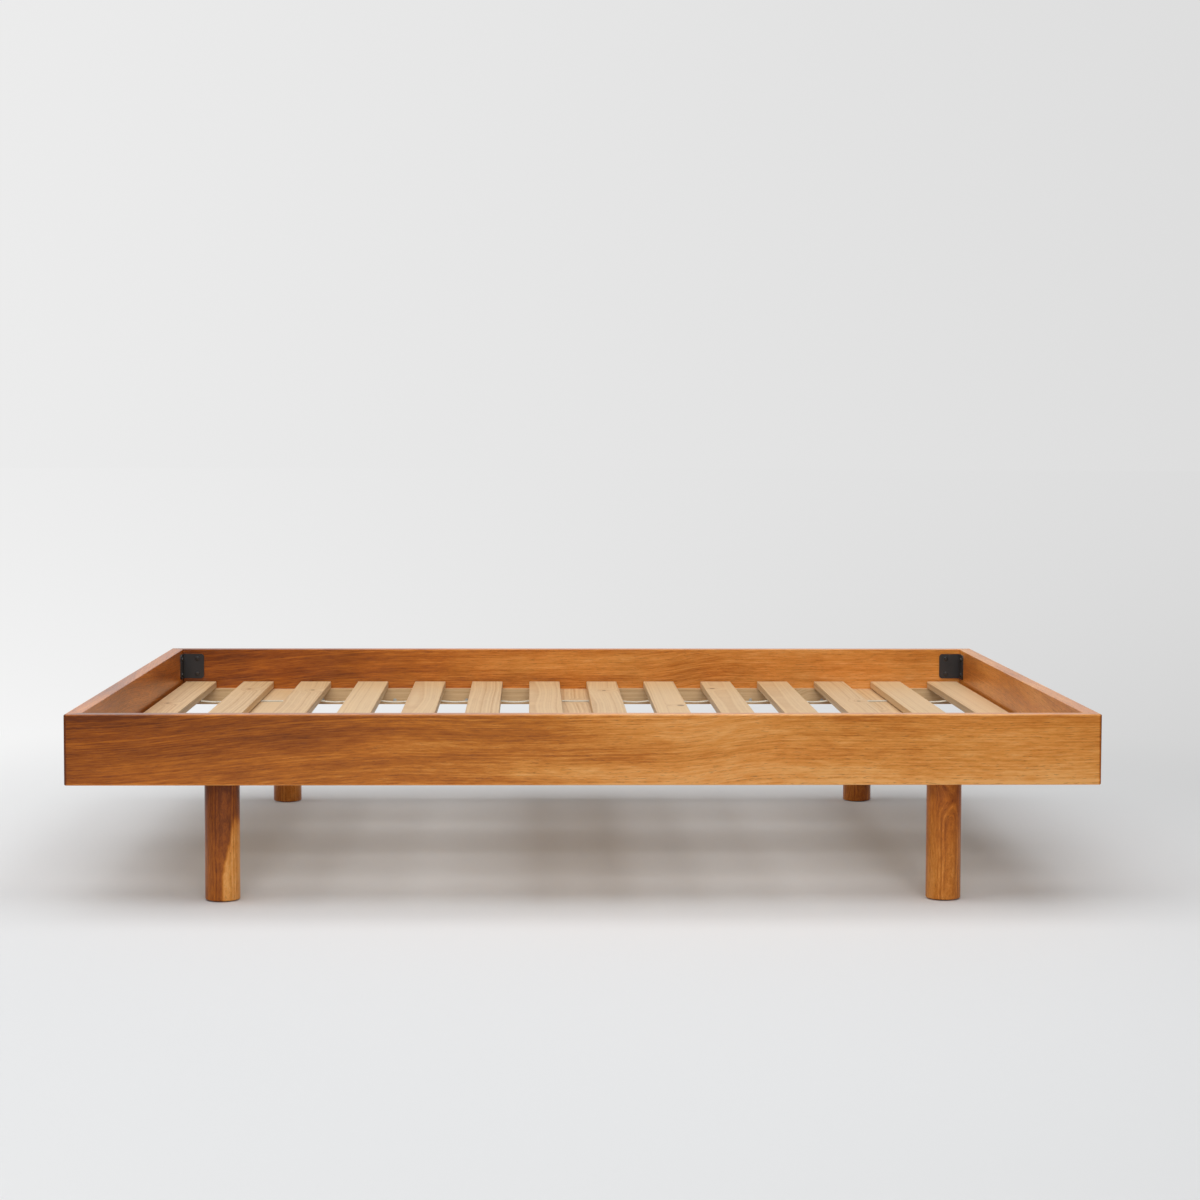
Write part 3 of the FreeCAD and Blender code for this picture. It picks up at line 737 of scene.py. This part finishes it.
def make_ribbon(name, ribbons):
    """A woven tape along the slats' undersides, which hangs a little between two slats."""
    low, high = (Vector(corner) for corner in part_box(name))
    centre = (low + high) / 2
    top = high.z - UNDER_SLAT
    bpy.ops.object.select_all(action="DESELECT")
    bpy.ops.mesh.primitive_plane_add(size=1, location=(0, 0, 0))
    tape = bpy.context.object
    tape.name = name.replace("slat_ribbon", "cotton_ribbon")
    edit(tape)
    bpy.ops.mesh.select_all(action="SELECT")
    bpy.ops.transform.resize(value=(high.x - low.x, high.y - low.y, 1))
    bpy.ops.transform.translate(value=(centre.x, centre.y, top))
    half_slat = extent(SLATS[0]).x / 2
    for slat in SLATS:
        for edge in (middle(slat).x - half_slat, middle(slat).x + half_slat):
            if low.x < edge < high.x:
                cut_across(edge)
    sags = []
    gap = SLAT_PITCH - 2 * half_slat
    for slat in SLATS[:-1]:
        start = middle(slat).x + half_slat
        sag = ribbons.sag_over_bearer if over_a_bearer(start + gap / 2) else ribbons.sag
        for place, share in zip(GAP_SHARE, GAP_SAG):
            sags.append((start + gap * place, sag * share))
            cut_across(start + gap * place)
    for x, drop in sags:
        select_points(tape, lambda point, x=x: abs(point.x - x) < NEARBY)
        bpy.ops.transform.translate(value=(0, 0, -drop))
    bpy.ops.mesh.select_all(action="SELECT")
    bpy.ops.mesh.normals_make_consistent(inside=False)
    bpy.ops.object.mode_set(mode="OBJECT")
    thicken = tape.modifiers.new("thickness", "SOLIDIFY")
    thicken.thickness = ribbons.thickness
    thicken.offset = -1
    bpy.ops.object.modifier_apply(modifier=thicken.name)
    soften = tape.modifiers.new("edges", "BEVEL")
    soften.width = ribbons.thickness * 0.3
    soften.segments = 2
    bpy.ops.object.modifier_apply(modifier=soften.name)
    bpy.ops.object.shade_smooth_by_angle(angle=math.radians(40))
    return tape


# ---- Operators ---------------------------------------------------------------------------------
def at_corners(name):
    """The names of the four pieces of one kind, one at each corner."""
    return [f"{name}_{corner}" for corner in CORNERS]


class BED_OT_finish_rails(bpy.types.Operator):
    """Oils the four rails"""

    bl_idname = "bed.finish_rails"
    bl_label = "Rails"

    def execute(self, context):
        timber = context.scene.bed_timber
        finish_nodes(SIDE_RAILS, side_rail_oak(timber))
        finish_nodes(END_RAILS, end_rail_oak(timber))
        return {"FINISHED"}


class BED_OT_finish_legs(bpy.types.Operator):
    """Oils the four legs and darkens their rubber pads"""

    bl_idname = "bed.finish_legs"
    bl_label = "Legs and pads"

    def execute(self, context):
        scene = context.scene
        finish_nodes(at_corners("leg"), leg_oak(scene.bed_timber))
        finish_nodes(at_corners("foot_pad"), pad_rubber(scene.bed_fittings.rubber))
        return {"FINISHED"}


class BED_OT_finish_inner_timber(bpy.types.Operator):
    """Finishes the ledgers, bearers, centre beam and dowels"""

    bl_idname = "bed.finish_inner_timber"
    bl_label = "Ledgers, bearers and beam"

    def execute(self, context):
        timber = context.scene.bed_timber
        side_pine = pine_along("side_ledger_pine", timber, "X", LEDGER_MIDDLE)
        end_pine = pine_along("end_ledger_pine", timber, "Y", END_LEDGER_MIDDLE)
        bearer_pine = pine_along("bearer_pine", timber, "Y", BEARER_MIDDLE, BEARER_MIDDLE.x)
        beam_pine = pine_along("beam_pine", timber, "X", middle("centre_beam"))
        finish_nodes(("right_ledger", "left_ledger"), side_pine)
        finish_nodes(("head_ledger", "foot_ledger"), end_pine)
        finish_nodes(BEARERS, bearer_pine)
        finish_nodes(("centre_beam",), beam_pine)
        finish_nodes(("mitre_dowels",), dowel_beech(timber))
        return {"FINISHED"}


class BED_OT_finish_slats(bpy.types.Operator):
    """Gives each slat its own board of pine"""

    bl_idname = "bed.finish_slats"
    bl_label = "Slats"

    def execute(self, context):
        timber = context.scene.bed_timber
        finish_nodes(SLATS, pine_along("slat_pine", timber, "Y", SLAT_FIRST, SLAT_PITCH))
        return {"FINISHED"}


class BED_OT_finish_fittings(bpy.types.Operator):
    """Finishes the brackets, bolts, inserts, plates, screws and staples"""

    bl_idname = "bed.finish_fittings"
    bl_label = "Metal fittings"

    def execute(self, context):
        fittings = context.scene.bed_fittings
        black = metal("blackened_steel", fittings.black_steel, 0.42, 0.5)
        zinc = metal("zinc_plate", fittings.zinc, 0.36, 0.5)
        brass = metal("turned_brass", fittings.brass, 0.30, 0.6)
        finish_nodes(at_corners("corner_bracket"), powder_coated(fittings.powder_coat))
        finish_nodes(["corner_bolts"] + at_corners("leg_bolt"), black)
        finish_nodes(["ledger_screws", "lap_screws", "leg_plate_screws", "ribbon_staples"], zinc)
        finish_nodes(at_corners("leg_plate"), zinc)
        finish_nodes(["corner_inserts"], brass)
        return {"FINISHED"}


class BED_OT_lay_ribbons(bpy.types.Operator):
    """Models the two cotton ribbons under the slats"""

    bl_idname = "bed.lay_ribbons"
    bl_label = "Ribbons"

    def execute(self, context):
        ribbons = context.scene.bed_ribbons
        nodes = ("slat_ribbon_right", "slat_ribbon_left")
        size = extent(nodes[0])
        cotton = woven_cotton(ribbons, middle("slat_ribbon_left").y, size.y / 2)
        for node in nodes:
            tape = make_ribbon(node, ribbons)
            tape.data.materials.append(cotton)
            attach(tape, "slat_base")
            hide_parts(node)
        return {"FINISHED"}


def surround_light(graph, studio, sideways, backwards):
    """The light of the space round the bed, towards one direction.

    It is bright where it is looked at, and where the oil reflects the space behind the bed. What
    falls on the pieces is weaker.
    """
    looks = studio.surround - sideways * (studio.surround * studio.lean)
    ray = graph.node("ShaderNodeLightPath")
    shine = graph.value(ray, "Is Glossy Ray") * graph.between(backwards, 0.0, 0.5)
    seen = graph.math("MAXIMUM", graph.value(ray, "Is Camera Ray"), shine)
    strength = seen * (looks - studio.ambient) + studio.ambient
    return graph.vector(strength, strength, strength)


def studio_floor(studio):
    """A wide round floor that runs into the space round it."""
    bpy.ops.object.select_all(action="DESELECT")
    bpy.ops.mesh.primitive_circle_add(
        vertices=96, radius=FLOOR_RADIUS, fill_type="NGON", location=(0, 0, 0)
    )
    floor = bpy.context.object
    floor.name = "studio_floor"
    material, graph = new_material("studio_floor")
    x, y, z = graph.point()
    ahead = y + FADE_FRONT
    distance = graph.math("SQRT", x * x * FADE_WEIGHTS[0] + ahead * ahead * FADE_WEIGHTS[1])
    paper = graph.node("ShaderNodeBsdfPrincipled", None, {
        "Base Color": (*studio.floor, 1.0), "Roughness": 0.8,
    })
    light = surround_light(graph, studio, x / distance, y / distance)
    glow = graph.node("ShaderNodeEmission", None, {"Color": light})
    fade = graph.between(distance, studio.fade_start, studio.fade_end)
    both = graph.node("ShaderNodeMixShader", None, {"Fac": fade})
    graph.tree.links.new(paper.outputs[0], both.inputs[1])
    graph.tree.links.new(glow.outputs[0], both.inputs[2])
    output = graph.node("ShaderNodeOutputMaterial")
    graph.tree.links.new(both.outputs[0], output.inputs["Surface"])
    floor.data.materials.append(material)


def studio_surround(studio):
    """The space all round the bed, a little brighter on the head side."""
    world = bpy.context.scene.world or bpy.data.worlds.new("studio")
    bpy.context.scene.world = world
    graph = Graph(world)
    x, y, z = graph.point()
    light = surround_light(graph, studio, x, y)
    background = graph.node("ShaderNodeBackground", None, {"Color": light})
    output = graph.node("ShaderNodeOutputWorld")
    graph.tree.links.new(background.outputs[0], output.inputs["Surface"])


def area_light(name, place, target, size, power):
    """A large soft light that faces a point and isn't seen itself."""
    bpy.ops.object.select_all(action="DESELECT")
    bpy.ops.object.light_add(type="AREA", location=place)
    light = bpy.context.object
    light.name = name
    light.data.shape = "RECTANGLE"
    light.data.size, light.data.size_y = size
    light.data.energy = power
    light.rotation_euler = (Vector(target) - Vector(place)).to_track_quat("-Z", "Y").to_euler()
    light.visible_camera = False


class BED_OT_build_studio(bpy.types.Operator):
    """Adds the floor, the light and the camera"""

    bl_idname = "bed.build_studio"
    bl_label = "Studio"

    def execute(self, context):
        studio = context.scene.bed_studio
        studio_floor(studio)
        studio_surround(studio)
        area_light("key_light", KEY_PLACE, KEY_TARGET, studio.key_size, studio.key_power)
        area_light("front_light", FRONT_PLACE, FRONT_TARGET, FRONT_SIZE, studio.front_power)
        bpy.ops.object.camera_add(location=studio.camera_place, rotation=studio.camera_turn)
        camera = context.object
        camera.name = "studio_camera"
        camera.data.sensor_width = 36
        camera.data.lens = studio.lens
        context.scene.camera = camera
        context.scene.view_settings.view_transform = "Standard"
        return {"FINISHED"}


OPERATORS = (
    BED_OT_finish_rails,
    BED_OT_finish_legs,
    BED_OT_finish_inner_timber,
    BED_OT_finish_slats,
    BED_OT_finish_fittings,
    BED_OT_lay_ribbons,
    BED_OT_build_studio,
)
SETTINGS = {
    "bed_timber": BED_timber,
    "bed_fittings": BED_fittings,
    "bed_ribbons": BED_ribbons,
    "bed_studio": BED_studio,
}


class BED_PT_sidebar(bpy.types.Panel):
    """The bed's settings, and a button for each group of pieces"""

    bl_idname = "BED_PT_sidebar"
    bl_label = "Oak Platform Bed"
    bl_space_type = "VIEW_3D"
    bl_region_type = "UI"
    bl_category = "Bed"

    def draw(self, context):
        for operator in OPERATORS:
            self.layout.operator(operator.bl_idname)
        for name, group in SETTINGS.items():
            box = self.layout.box()
            box.label(text=group.__doc__)
            for setting in group.__annotations__:
                box.prop(getattr(context.scene, name), setting)


def register():
    for group in SETTINGS.values():
        bpy.utils.register_class(group)
    for name, group in SETTINGS.items():
        setattr(bpy.types.Scene, name, PointerProperty(type=group))
    for operator in OPERATORS:
        bpy.utils.register_class(operator)
    bpy.utils.register_class(BED_PT_sidebar)


def unregister():
    bpy.utils.unregister_class(BED_PT_sidebar)
    for operator in reversed(OPERATORS):
        bpy.utils.unregister_class(operator)
    for name in SETTINGS:
        delattr(bpy.types.Scene, name)
    for group in reversed(SETTINGS.values()):
        bpy.utils.unregister_class(group)


def main():
    register()
    bpy.ops.bed.finish_rails()
    bpy.ops.bed.finish_legs()
    bpy.ops.bed.finish_inner_timber()
    bpy.ops.bed.finish_slats()
    bpy.ops.bed.finish_fittings()
    bpy.ops.bed.lay_ribbons()
    bpy.ops.bed.build_studio()


if __name__ == "__main__":
    main()
